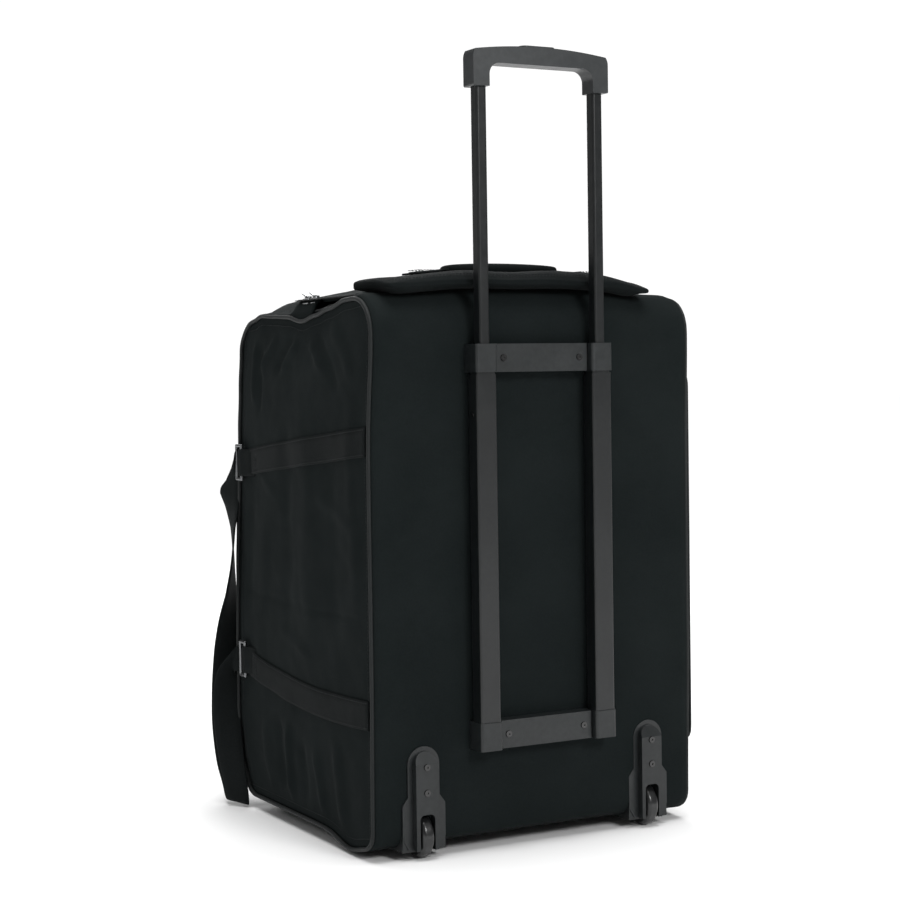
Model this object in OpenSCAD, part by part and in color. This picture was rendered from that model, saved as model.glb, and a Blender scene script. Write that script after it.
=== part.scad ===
// Wheeled skate bag: a soft zipped body on a stiff back board, with a telescopic
// tow handle and two wheels on the back, a zipped lid on top, a pocket on one end
// and webbing carry handles on the front edges.
// +Z is up, -Y is the front and +Y is the back, which carries the tow handle.
// "Left" pieces are on the +X end and "right" pieces on the -X end.

/* [Bag body] */
// Width of the body, from end panel to end panel
body_w = 450; // [430:5:480]
// Depth of the body, front to back
body_d = 400; // [390:5:430]
// Height of the soft body
body_h = 658; // [650:2:680]
// Height of the body's underside above the floor
ground = 18; // [16:1:20]
// Thickness of the padded fabric
panel_t = 4; // [3:0.5:5]
// Radius of the body's long edges
corner_r = 45; // [35:1:50]
// Radius of the edge above the wheels
heel_r = 20; // [16:1:24]
// Diameter of the piping in the end seams
piping_d = 5; // [4:0.5:5]
// Thickness of the stiffening boards
board_t = 3; // [2:0.5:4]

/* [Lid and zips] */
// Distance from the middle of the top to the lid's fold
fold_y = 48; // [44:1:60]
// Distance from the middle of the top to the zip behind the lid
lid_back = 158; // [150:1:160]
// Width of a zip, with both its tapes
zip_w = 12; // [11.5:0.5:13]
// Length of the front zip
front_zip_l = 520; // [440:10:530]
// Thickness of the padded flap over the lid's zip
flap_t = 22; // [18:1:26]

/* [Webbing] */
// Width of the webbing
webbing_w = 38; // [36:1:38]
// Thickness of the webbing
webbing_t = 2.5; // [2:0.1:2.8]
// Height of the upper ring of a carry handle
ring_high = 466; // [450:1:480]
// Height of the lower ring of a carry handle
ring_low = 200; // [190:1:220]

/* [End pocket] */
// How far the pocket stands off the end panel
pocket_depth = 20; // [16:1:24]
// Length of the pocket, front to back
pocket_l = 330; // [300:5:330]
// Height of the pocket
pocket_h = 482; // [440:2:490]

/* [Tow handle] */
// Distance from the middle to each tube's axis
tube_x = 82; // [80:1:90]
// Width of an outer tube
outer_w = 28; // [28:1:30]
// Depth of an outer tube
outer_d = 22; // [22:1:24]
// Width of an inner tube
inner_w = 14; // [13:1:14]
// Depth of an inner tube
inner_d = 16; // [15:1:16]
// Wall of the tubes
tube_wall = 1.5; // [1.2:0.1:1.5]
// Gap between the outer tubes and the back panel
tube_gap = 8; // [8:1:10]
// Height of the lower bracket's middle
bracket_low = 143; // [143:1:150]
// Height of the upper bracket's middle
bracket_high = 599; // [590:1:604]
// Height of each bracket
bracket_h = 34; // [30:1:36]
// Height of the grip's leg ends when the handle is out
grip_z = 922; // [922:1:930]

/* [Wheels] */
// Diameter of a wheel
wheel_d = 54; // [52:1:55]
// Width of a wheel
wheel_w = 16; // [15:1:17]
// Distance from the middle to each wheel
wheel_x = 162; // [155:1:170]
// Height of a wheel housing's top
housing_top = 136; // [134:1:140]

/* [Hidden] */
$fn = 48;

black = [0.13, 0.15, 0.15];
webbing_black = [0.17, 0.18, 0.18];
satin_black = [0.1, 0.1, 0.11];
dark_plastic = [0.24, 0.25, 0.25];
chrome = [0.8, 0.8, 0.82];
steel = [0.6, 0.6, 0.62];

gap = 0.3;                      // clearance between neighbouring pieces
half_w = body_w / 2;
half_d = body_d / 2;
top_z = ground + body_h;
wall_x = half_w - panel_t;      // inner face of the end panels

// Zips, in a zip's own frame: it runs along Y, its face is +Z.
zip_gap = 1;                    // between its two rows of coil
coil_w = 3;
tape_z = [-2.5, -1];
coil_z = [-3.2, -0.3];
slider_l = 16;
slider_w = 10.4;
plate_t = 1.8;
slider_z = [coil_z[0] - gap - plate_t, coil_z[1] + gap];
bail_z = slider_z[1] + plate_t + 2.2;
bail_r = 0.9;
pull_w = 5;
pull_l = 16;
pull_t = 1.6;
pull_bore_r = bail_r + 0.08;
pull_rim = 1;

zip_x = wall_x - zip_w / 2;     // the lid's zip runs just inside the end panels
zip_start_y = -12;
zip_corner_r = 30;
slider_rear_y = 37;
slider_front_y = 14;

flap_z = top_z + gap;
flap_left = 203;
flap_right = -175;
flap_front = 100;
flap_overhang = 5;

// Grab handle, which lies on the flap
grab_y = 133;
grab_z = flap_z + flap_t + 3;
grab_reach = 26;
grab_x = 105;
sleeve_l = 130;
sleeve_d = 13;

// Carry handles, whose rings swing on the front ends of the side bands
ring_wire = 4.5;
ring_l = 16;
ring_x = half_w + 6.5;
ring_y = -half_d + 26;
strap_x = ring_x + ring_wire / 2 + 0.1;
strap_front = -half_d - 48;
strap_loop_r = 13;
strap_floor_gap = 4;
band_end_y = half_d - 8;
band_rise = 36;                 // the upper bands climb this much towards the back
band_fall = 24;                 // and the lower ones drop this much

pocket_x = half_w + pocket_depth;
pocket_wall = 3;
pocket_low = 98;
pocket_back = half_d - 20;
pocket_zip_l = 270;
pocket_zip_z = pocket_low + pocket_h - 26;

// Tow handle
tube_y = half_d + tube_gap + outer_d / 2;
bracket_x = tube_x + outer_w / 2;
bracket_back = half_d + tube_gap + outer_d + 1.5;
plate_back = bracket_back - 9;  // the plate between the clips is set back
screw_x = 54;
bracket_screws_z = [bracket_low, bracket_high];
outer_top = bracket_high - bracket_h / 2 - 2.5;
outer_bottom = bracket_low - bracket_h / 2 + 6;
glide_h = 28;
glide_top = bracket_high - bracket_h / 2 - 37;
lock_z = glide_top - glide_h / 2;
lock_r = 2.5;
grip_w = 190;
grip_d = 25;
grip_h = 50;
grip_bar_h = 22;
grip_leg_w = 22;
grip_top = grip_z + grip_h;
grip_arch_r = 648;
spring_pitch = 1.45;
button_l = 48;
button_w = 15;
bar_z = grip_top - 12;
button_z = grip_top + 2;

// Wheels and their housings
wheel_r = wheel_d / 2;
wheel_y = half_d - 10;
axle_r = 3;
hub_r = 15;
tub_w = 58;
neck_w = 43;
flange_t = 3.5;
spine_w = 30;
spine_t = 13;
tub_bottom = 10;
tub_top = 62;
tub_front = wheel_y - wheel_r - 6;
slot_w = wheel_w + 4;
housing_screws_z = [81, 112];
screw_r = 2;
head_r = 4;
head_t = 2.4;
head_sink = 1.2;                // depth of the recess round a screw head

// The origin is on the floor, under the middle of the whole object.
reach_left = strap_x + webbing_t;
reach_right = pocket_x + bail_z + pull_bore_r + pull_rim;
reach_front = -strap_front;
reach_back = bracket_back;
shift_x = (reach_right - reach_left) / 2;
shift_y = (reach_front - reach_back) / 2;

// ---------------------------------------------------------------- helpers

module placed() translate([shift_x, shift_y, 0]) children();

module along_x(x0, x1) translate([x0, 0, 0]) rotate([90, 0, 90])
    linear_extrude(x1 - x0) children();

module along_y(y0, y1) translate([0, y1, 0]) rotate([90, 0, 0])
    linear_extrude(y1 - y0) children();

module along_z(z0, z1) translate([0, 0, z0]) linear_extrude(z1 - z0) children();

module box(low, high) translate(low) cube(high - low);

module on_side(side) if (side > 0) children(); else mirror([1, 0, 0]) children();

module both_sides() for (side = [-1, 1]) on_side(side) children();

// A rectangle with one radius per corner: low left, low right, high right, high left.
module rounded(low, high, r) {
    polygon([
        [low.x + r[0], low.y], [high.x - r[1], low.y],
        [high.x, low.y + r[1]], [high.x, high.y - r[2]],
        [high.x - r[2], high.y], [low.x + r[3], high.y],
        [low.x, high.y - r[3]], [low.x, low.y + r[0]]
    ]);
    translate([low.x + r[0], low.y + r[0]]) circle(r[0]);
    translate([high.x - r[1], low.y + r[1]]) circle(r[1]);
    translate([high.x - r[2], high.y - r[2]]) circle(r[2]);
    translate([low.x + r[3], high.y - r[3]]) circle(r[3]);
}

module centred(w, h, r) rounded([-w / 2, -h / 2], [w / 2, h / 2], [r, r, r, r]);

// A slot shape, l long in X and w wide in Y.
module oval(l, w) {
    square([l - w, w], center = true);
    for (side = [-1, 1]) translate([side * (l - w) / 2, 0]) circle(w / 2);
}

// The body's cross-section in Y and Z, drawn in by an inset.
module profile(inset) rounded(
    [-half_d + inset, ground + inset], [half_d - inset, top_z - inset],
    [corner_r - inset, heel_r - inset, corner_r - inset, corner_r - inset]
);

// A part of the body's skin between the end panels, limited to a Y and Z window.
module skin(low, high) along_x(-wall_x, wall_x) intersection() {
    difference() {
        profile(0);
        profile(panel_t);
    }
    translate(low) square(high - low);
}

// The lid's outline on the top, grown from the zip's centre line.
module lid_plan(front_y, grow) {
    x = zip_x + grow;
    y = lid_back + grow;
    r = zip_corner_r + grow;
    polygon([[-x, front_y], [x, front_y], [x, y - r], [x - r, y], [r - x, y], [-x, y - r]]);
    for (side = [-1, 1]) translate([side * (x - r), y - r]) circle(r);
}

// The screws of the brackets and wheel housings, each child placed at X and Z.
module at_screws() {
    for (side = [-1, 1]) {
        for (z = bracket_screws_z) translate([side * screw_x, 0, z]) children();
        for (z = housing_screws_z) translate([side * wheel_x, 0, z]) children();
    }
}

module screw_holes(r) at_screws() along_y(half_d - 15, half_d + 1) circle(r);

module wheel_notches(depth) for (side = [-1, 1]) translate([side * wheel_x, 0, 0])
    box([-tub_w / 2 - gap, tub_front - gap, 0], [tub_w / 2 + gap, half_d + 1, tub_top + depth]);

// ---------------------------------------------------------------- zips

// One straight zip in its own frame, from y0 to y1.
module zip_rows(y0, y1) both_sides() {
    box([zip_gap / 2, y0, tape_z[0]], [zip_w / 2 - 0.1, y1, tape_z[1]]);
    box([zip_gap / 2, y0, coil_z[0]], [zip_gap / 2 + coil_w, y1, coil_z[1]]);
}

// A slider in the zip's frame, centred on the origin.
module zip_slider() {
    for (z = slider_z) along_z(z, z + plate_t)
        centred(slider_w, slider_l, 3);
    box([-0.25, slider_l / 2 - 4, slider_z[0]], [0.25, slider_l / 2 - 1, slider_z[1] + 1]);
    both_sides()
        box([pull_w / 2 + 0.3, -2, slider_z[1] + 1], [pull_w / 2 + 1.5, 2, bail_z + bail_r]);
    along_x(-pull_w / 2 - 1, pull_w / 2 + 1) translate([0, bail_z]) circle(bail_r);
}

// A pull on a slider's bail, leaning towards +Y at an angle above the zip.
module zip_pull(angle) translate([0, 0, bail_z]) rotate([angle, 0, 0]) difference() {
    union() {
        along_x(-pull_w / 2, pull_w / 2) circle(pull_bore_r + pull_rim);
        along_z(-pull_t / 2, pull_t / 2) rounded(
            [-pull_w / 2, 0], [pull_w / 2, pull_l], [0.5, 0.5, 2, 2]
        );
    }
    along_x(-pull_w, pull_w) circle(pull_bore_r);
    along_z(-pull_t, pull_t) translate([0, pull_l - 5]) circle(1.3);
}

// The frames of the three zips.
module on_lid_zip(y) translate([zip_x, y, top_z]) children();
module on_front_zip(z) translate([0, -half_d, z]) rotate([90, 0, 0]) children();
module on_pocket_zip(y) translate([-pocket_x, y, pocket_zip_z]) rotate([0, -90, 0])
    children();

front_zip_low = ground + (body_h - front_zip_l) / 2;
front_zip_high = front_zip_low + front_zip_l;
pocket_mid = pocket_back - pocket_l / 2;
pocket_zip_ends = [pocket_mid - pocket_zip_l / 2, pocket_mid + pocket_zip_l / 2];

// ---------------------------------------------------------------- soft body

module back_panel() color(black) placed() difference() {
    skin([lid_back - zip_corner_r, ground + heel_r], [half_d + 1, top_z + 1]);
    along_z(top_z - corner_r, top_z + 1) lid_plan(0, zip_w / 2);
    wheel_notches(gap);
    screw_holes(screw_r + 0.1);
}

module front_half() difference() {
    box([0.1, -half_d, ground + corner_r], [wall_x, -half_d + panel_t, top_z - corner_r]);
    box([-1, -half_d - 1, front_zip_low], [zip_w / 2, -half_d + panel_t + 1, front_zip_high]);
}

module front_panel_left() color(black) placed() front_half();
module front_panel_right() color(black) placed() mirror([1, 0, 0]) front_half();

module top_panel() color(black) placed() difference() {
    skin([-half_d - 1, top_z - corner_r], [lid_back - zip_corner_r, top_z + 1]);
    along_z(top_z - corner_r, top_z + 1) lid_plan(fold_y, zip_w / 2);
    both_sides()
        box([zip_x - zip_w / 2, zip_start_y, top_z - 8], [wall_x + 1, fold_y + 1, top_z + 1]);
}

module bottom_panel() color(black) placed() difference() {
    union() {
        skin([-half_d - 1, ground - 1], [0, ground + corner_r]);
        skin([0, ground - 1], [half_d + 1, ground + heel_r]);
    }
    wheel_notches(0);
}

module end_panel(side) color(black) placed() on_side(side) along_x(wall_x, half_w)
    profile(0);

module end_panel_left() end_panel(1);
module end_panel_right() end_panel(-1);

// A quarter turn of piping in the Y and Z plane, from the given start angle.
module piping_turn(y, z, r, start) translate([0, y, z]) rotate([0, 90, 0])
    rotate([0, 0, start]) rotate_extrude(angle = 90) translate([r, 0]) circle(piping_d / 2);

module piping_run(from, to) {
    along = to - from;
    translate([0, from.x, from.y])
        rotate(abs(along.x) > 0 ? [-90, 0, 0] : [0, 0, 0])
            cylinder(d = piping_d, h = norm(along));
}

module end_piping() color(webbing_black) placed() both_sides()
    translate([half_w + piping_d / 2 + 0.1, 0, 0]) {
        p = piping_d / 2;
        r = corner_r - p;
        s = heel_r - p;
        y = half_d - corner_r;
        z = top_z - corner_r;
        low = ground + corner_r;
        heel_y = half_d - heel_r;
        heel_z = ground + heel_r;
        piping_turn(-y, z, r, 180);
        piping_turn(y, z, r, 90);
        piping_turn(-y, low, r, 270);
        piping_turn(heel_y, heel_z, s, 0);
        piping_run([-y, ground + p], [heel_y, ground + p]);
        piping_run([-y, top_z - p], [y, top_z - p]);
        piping_run([-half_d + p, low], [-half_d + p, z]);
        piping_run([half_d - p, heel_z], [half_d - p, z]);
    }

module back_board() color(dark_plastic) placed() difference() {
    y = half_d - panel_t - gap;
    along_y(y - board_t, y)
        rounded([-wall_x + 8, tub_top + 3], [wall_x - 8, top_z - corner_r - 4], [12, 12, 12, 12]);
    screw_holes(screw_r + 0.1);
}

module base_board() color(dark_plastic) placed() {
    z = ground + panel_t + gap;
    along_z(z, z + board_t) rounded(
        [-wall_x + 8, -half_d + corner_r], [wall_x - 8, tub_front - 2], [12, 12, 12, 12]
    );
}

module front_feet() color(dark_plastic) placed() for (side = [-1, 1])
    translate([side * wheel_x, -half_d + 58, 0]) along_z(0, ground - 0.1) oval(58, 26);

// ---------------------------------------------------------------- lid

module lid_panel() color(black) placed() along_z(top_z - panel_t, top_z)
    lid_plan(fold_y + gap, -zip_w / 2);

module lid_flap() color(black) placed() along_z(flap_z, flap_z + flap_t) rounded(
    [flap_right, flap_front], [flap_left, half_d + flap_overhang], [12, 20, 6, 6]
);

// A band of the lid's zip between two offsets from its centre line.
module zip_band(front_y, inner, outer, heights) along_z(top_z + heights[0], top_z + heights[1])
    difference() {
        lid_plan(front_y, outer);
        lid_plan(front_y - 1, inner);
    }

module lid_zip_fixed_half() color(webbing_black) placed() {
    zip_band(zip_start_y, zip_gap / 2, zip_w / 2 - 0.1, tape_z);
    zip_band(zip_start_y, zip_gap / 2, zip_gap / 2 + coil_w, coil_z);
    both_sides() {
        box([zip_x - zip_w / 2 + 0.1, zip_start_y, top_z + tape_z[0]],
            [zip_x - zip_gap / 2, fold_y, top_z + tape_z[1]]);
        box([zip_x - zip_gap / 2 - coil_w, zip_start_y, top_z + coil_z[0]],
            [zip_x - zip_gap / 2, fold_y, top_z + coil_z[1]]);
    }
}

module lid_zip_moving_half() color(webbing_black) placed() {
    zip_band(fold_y + gap, -zip_w / 2 + 0.1, -zip_gap / 2, tape_z);
    zip_band(fold_y + gap, -zip_gap / 2 - coil_w, -zip_gap / 2, coil_z);
}

module zip_slider_rear() color(chrome) placed() on_lid_zip(slider_rear_y) zip_slider();
module zip_slider_front() color(chrome) placed() on_lid_zip(slider_front_y)
    rotate([0, 0, 180]) zip_slider();
module zip_pull_rear() color(chrome) placed() on_lid_zip(slider_rear_y)
    rotate([0, 0, 180]) zip_pull(20);
module zip_pull_front() color(chrome) placed() on_lid_zip(slider_front_y)
    rotate([0, 0, 180]) zip_pull(20);

// ---------------------------------------------------------------- grab handle

module grab_handle_anchors() color(webbing_black) placed() for (side = [-1, 1])
    translate([side * (grab_x + 12), grab_y, 0])
        along_z(flap_z + flap_t + 0.1, flap_z + flap_t + 2.4) centred(34, webbing_w, 2);

// Two arms lead from the anchors to the sleeve, which lies towards the front.
module grab_handle_webbing() color(webbing_black) placed() {
    z = grab_z;
    both_sides() along_z(z, z + webbing_t) polygon([
        [grab_x + 22, grab_y], [grab_x - 4, grab_y],
        [sleeve_l / 2, grab_y - grab_reach + 10], [sleeve_l / 2, grab_y - grab_reach - 10],
        [grab_x + 4, grab_y - 24], [grab_x + 22, grab_y - 24]
    ]);
}

module grab_handle_sleeve() color(black) placed()
    translate([0, grab_y - grab_reach, grab_z + sleeve_d / 2 - 1.5])
        along_x(-sleeve_l / 2, sleeve_l / 2) centred(30, sleeve_d, 5);

// ---------------------------------------------------------------- carry handles

// One band sewn on an end panel, between its heights at the front and the back.
module side_band(front_z, back_z, back_y) {
    h = webbing_w / 2;
    along_x(half_w + 0.2, half_w + 0.2 + webbing_t) polygon([
        [ring_y - 4, front_z - h], [back_y, back_z - h],
        [back_y, back_z + h], [ring_y - 4, front_z + h]
    ]);
    along_z(front_z - h, front_z + h) difference() {
        translate([ring_x, ring_y]) circle(ring_wire / 2 + 0.1 + webbing_t);
        translate([ring_x, ring_y]) circle(ring_wire / 2 + 0.1);
    }
}

module side_bands_left() color(webbing_black) placed() {
    side_band(ring_high, ring_high + band_rise, band_end_y);
    side_band(ring_low, ring_low - band_fall, band_end_y);
}

// The pocket covers the rest of the bands on this end.
module side_bands_right() color(webbing_black) placed() mirror([1, 0, 0]) {
    stub_y = pocket_back - pocket_l - 2;
    side_band(ring_high, ring_high, stub_y);
    side_band(ring_low, ring_low, stub_y);
}

module wire(from, to) {
    along = to - from;
    translate(from) sphere(d = ring_wire);
    translate(from) rotate(along.z > 0 ? [0, 0, 0] : [90, 0, 0])
        cylinder(d = ring_wire, h = norm(along));
}

// A rectangular ring that hangs on a band's end and lies towards the front.
module ring(z) translate([ring_x, ring_y, z]) {
    h = webbing_w / 2 + 3.5;
    wire([0, 0, -h], [0, 0, h]);
    wire([0, -ring_l, -h], [0, -ring_l, h]);
    wire([0, 0, h], [0, -ring_l, h]);
    wire([0, 0, -h], [0, -ring_l, -h]);
    translate([0, -ring_l, h]) sphere(d = ring_wire);
}

module rings_left() color(chrome) placed() {
    ring(ring_high);
    ring(ring_low);
}

module rings_right() color(chrome) placed() mirror([1, 0, 0]) {
    ring(ring_high);
    ring(ring_low);
}

// The strap is folded round a ring's front bar.
module strap_eye(z) {
    y = ring_y - ring_l;
    h = webbing_w / 2;
    along_z(z - h, z + h) difference() {
        union() {
            translate([ring_x, y]) circle(ring_wire / 2 + 0.1 + webbing_t);
            translate([strap_x, strap_front]) square([webbing_t, y - strap_front]);
        }
        translate([ring_x, y]) circle(ring_wire / 2 + 0.1);
    }
}

// The strap hangs from the upper ring to the floor and comes back to the lower ring.
module carry_strap() {
    h = webbing_w / 2;
    run = [strap_front, strap_front + webbing_w];
    turn_z = strap_floor_gap + strap_loop_r;
    in_x = strap_x + webbing_t - 2 * strap_loop_r;
    strap_eye(ring_high);
    strap_eye(ring_low);
    box([strap_x, run[0], turn_z], [strap_x + webbing_t, run[1], ring_high + h]);
    box([in_x, run[0], turn_z], [in_x + webbing_t, run[1], ring_low + h]);
    box([in_x, run[0], ring_low - h], [strap_x + webbing_t, run[0] + webbing_t, ring_low + h]);
    along_y(run[0], run[1]) translate([strap_x + webbing_t - strap_loop_r, turn_z])
        difference() {
            circle(strap_loop_r);
            circle(strap_loop_r - webbing_t);
            translate([-strap_loop_r, 0]) square(2 * strap_loop_r);
        }
}

module carry_strap_left() color(webbing_black) placed() carry_strap();
module carry_strap_right() color(webbing_black) placed() mirror([1, 0, 0]) carry_strap();

// ---------------------------------------------------------------- end pocket

module end_pocket() color(black) placed() difference() {
    low = [pocket_back - pocket_l, pocket_low];
    high = [pocket_back, pocket_low + pocket_h];
    w = [pocket_wall, pocket_wall];
    along_x(-pocket_x, -half_w - 0.2) rounded(low, high, [25, 25, 25, 25]);
    along_x(-pocket_x + pocket_wall, -half_w) rounded(low + w, high - w, [22, 22, 22, 22]);
    box([-pocket_x - 1, pocket_zip_ends[0], pocket_zip_z - zip_w / 2],
        [-half_w - 8, pocket_zip_ends[1], pocket_zip_z + zip_w / 2]);
}

module pocket_zip() color(webbing_black) placed() on_pocket_zip(0)
    zip_rows(pocket_zip_ends[0] + 0.1, pocket_zip_ends[1] - 0.1);
module pocket_slider() color(chrome) placed() on_pocket_zip(pocket_zip_ends[1] - 14)
    zip_slider();
module pocket_pull() color(chrome) placed() on_pocket_zip(pocket_zip_ends[1] - 14)
    zip_pull(0);

// ---------------------------------------------------------------- front zip

module front_zip() color(webbing_black) placed() on_front_zip(0)
    zip_rows(front_zip_low + 0.1, front_zip_high - 0.1);
module front_slider() color(chrome) placed() on_front_zip(front_zip_high - 12)
    zip_slider();
module front_pull() color(chrome) placed() on_front_zip(front_zip_high - 12)
    mirror([0, 1, 0]) zip_pull(0);

// ---------------------------------------------------------------- tow handle

module tube(w, d, wall, z0, z1) translate([0, tube_y, 0]) along_z(z0, z1) difference() {
    centred(w, d, 3);
    centred(w - 2 * wall, d - 2 * wall, 3 - wall);
}

module outer_tube(side) color(satin_black) placed() translate([side * tube_x, 0, 0])
    difference() {
        tube(outer_w, outer_d, tube_wall, outer_bottom, outer_top);
        on_side(side) translate([0, tube_y, lock_z]) rotate([0, 90, 0])
            cylinder(r = lock_r + 0.2, h = outer_w);
    }

module outer_tube_left() outer_tube(1);
module outer_tube_right() outer_tube(-1);

module guide_bushings() color(dark_plastic) placed() for (side = [-1, 1])
    translate([side * tube_x, tube_y, 0])
        along_z(outer_top - 25, bracket_high - bracket_h / 2) difference() {
            centred(outer_w - 2 * tube_wall - 0.2, outer_d - 2 * tube_wall - 0.2, 1.4);
            centred(inner_w + 0.4, inner_d + 0.4, 3.2);
        }

// A bracket: a clip round each tube, and between them a plate with a hollow back,
// a boss for each screw and a groove at each end.
module bracket(z) {
    h = bracket_h / 2;
    clip_in = tube_x - outer_w / 2 - 1;
    both_sides() along_z(z - h, z + h) rounded(
        [clip_in, half_d + 0.1], [bracket_x + 1, bracket_back], [1, 1, 4, 4]
    );
    difference() {
        along_y(half_d + 0.1, plate_back) square_round([clip_in + 1, h], z, 2);
        difference() {
            along_y(half_d, plate_back - 4) square_round([clip_in - 5, h - 3], z, 2);
            for (side = [-1, 1]) translate([side * screw_x, 0, z])
                along_y(half_d, plate_back) circle(7);
        }
        for (side = [-1, 1]) translate([side * screw_x, 0, z]) {
            along_y(half_d, plate_back + 1) circle(screw_r + 0.1);
            along_y(plate_back - head_sink, plate_back + 1) circle(head_r + 0.4);
        }
        both_sides() box([clip_in - 2, plate_back - 3, z - h - 1], [clip_in, plate_back + 1, z + h + 1]);
    }
}

// A rectangle about x = 0 and the given height, from its half sizes.
module square_round(half, z, r) rounded([-half.x, z - half.y], [half.x, z + half.y], [r, r, r, r]);

module upper_bracket() color(dark_plastic) placed() difference() {
    bracket(bracket_high);
    for (side = [-1, 1]) translate([side * tube_x, tube_y, 0])
        along_z(bracket_high - bracket_h, bracket_high + bracket_h)
            centred(inner_w + 0.6, inner_d + 0.6, 3.3);
}

module lower_bracket() color(dark_plastic) placed() difference() {
    bracket(bracket_low);
    for (side = [-1, 1]) translate([side * tube_x, tube_y, 0])
        along_z(outer_bottom, bracket_low + bracket_h) centred(outer_w, outer_d, 3);
}

// A pan-head screw along Y with its head's underside at the given Y.
module screw(y) {
    along_y(half_d - 14, y + 0.1) circle(screw_r);
    difference() {
        along_y(y, y + head_t) circle(head_r);
        along_y(y + head_t - 1.2, y + head_t + 1) circle(1.4);
    }
}

module bracket_screws() color(steel) placed() for (side = [-1, 1], z = bracket_screws_z)
    translate([side * screw_x, 0, z]) screw(plate_back - head_sink);

module housing_screws() color(steel) placed() for (side = [-1, 1], z = housing_screws_z)
    translate([side * wheel_x, 0, z]) screw(half_d + spine_t - head_sink);

// Flanged nuts on the inside of the back board
module backing_nuts() color(steel) placed() at_screws() {
    y = half_d - panel_t - board_t - 2 * gap;
    difference() {
        union() {
            along_y(y - 1.2, y) circle(6.5);
            along_y(y - 5, y - 1) circle(3.9, $fn = 6);
        }
        along_y(y - 6, y + 1) circle(screw_r + 0.05);
    }
}

module inner_tube(side) color(satin_black) placed() translate([side * tube_x, 0, 0])
    tube(inner_w, inner_d, 1.2, glide_top, grip_z + 28);

module inner_tube_left() inner_tube(1);
module inner_tube_right() inner_tube(-1);

// Glides close the inner tubes' lower ends and carry the lock pins.
module tube_glides() color(dark_plastic) placed() for (side = [-1, 1])
    translate([side * tube_x, tube_y, 0]) on_side(side) difference() {
        union() {
            along_z(glide_top - glide_h, glide_top - 0.1)
                centred(outer_w - 2 * tube_wall - 0.6, outer_d - 2 * tube_wall - 0.6, 1.3);
            along_z(glide_top - 0.2, glide_top + 15) centred(inner_w - 2.6, inner_d - 2.6, 1.5);
        }
        translate([0, 0, lock_z]) rotate([0, 90, 0]) cylinder(r = lock_r + 0.06, h = outer_w);
    }

module lock_pin(side) color(steel) placed()
    translate([side * tube_x, tube_y, lock_z]) on_side(side) rotate([0, 90, 0])
        translate([0, 0, 0.2]) cylinder(r = lock_r, h = outer_w / 2 - tube_wall - 0.8);

module lock_pin_left() lock_pin(1);
module lock_pin_right() lock_pin(-1);

// The grip's front view: a slightly arched bar with a leg over each tube.
module grip_outline() difference() {
    intersection() {
        rounded([-grip_w / 2, grip_z], [grip_w / 2, grip_top], [2, 2, 16, 16]);
        translate([0, grip_top - grip_arch_r]) circle(grip_arch_r, $fn = 180);
    }
    x = grip_w / 2 - grip_leg_w;
    rounded([-x, grip_z - 20], [x, grip_top - grip_bar_h], [2, 2, 14, 14]);
}

module grip_cavity() {
    translate([0, tube_y, 0]) along_z(grip_top - 6, grip_top + 5)
        oval(button_l + 0.6, button_w + 0.6);
    box([-tube_x - 5, tube_y - 8.5, bar_z - 7.4], [tube_x + 5, tube_y + 8.5, bar_z + 7]);
    for (side = [-1, 1]) translate([side * tube_x, tube_y, 0])
        along_z(grip_z - 1, bar_z - 7) centred(inner_w, inner_d, 3);
}

module grip_rear_shell() color(dark_plastic) placed() difference() {
    along_y(tube_y + 0.05, tube_y + grip_d / 2) grip_outline();
    grip_cavity();
}

module grip_front_shell() color(dark_plastic) placed() difference() {
    along_y(tube_y - grip_d / 2, tube_y - 0.05) grip_outline();
    grip_cavity();
}

module release_button() color(dark_plastic) placed() translate([0, tube_y, 0])
    along_z(bar_z + 4, button_z) oval(button_l, button_w);

// A cross bar under the button with a rod down each inner tube
module push_rods() color(steel) placed() translate([0, tube_y, 0]) {
    box([-tube_x - 3, -3, bar_z], [tube_x + 3, 3, bar_z + 4]);
    for (side = [-1, 1]) translate([side * tube_x, 0, 0])
        along_z(glide_top + 21, bar_z + 1) circle(2);
}

module button_spring() color(steel) placed() translate([0, tube_y, 0])
    rotate_extrude() for (turn = [0:4])
        translate([3.5, bar_z - 6.6 + turn * spring_pitch]) circle(spring_pitch * 0.55);

// ---------------------------------------------------------------- wheels

// The back view of a wheel housing: a narrow round-topped neck on a wider foot.
module housing_outline() {
    neck = neck_w / 2;
    foot = tub_w / 2;
    translate([0, housing_top - neck]) circle(neck);
    polygon([
        [-neck, housing_top - neck], [-neck, 76], [-foot, 66], [-foot, 26], [-foot + 8, 12],
        [foot - 8, 12], [foot, 26], [foot, 66], [neck, 76], [neck, housing_top - neck]
    ]);
}

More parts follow.
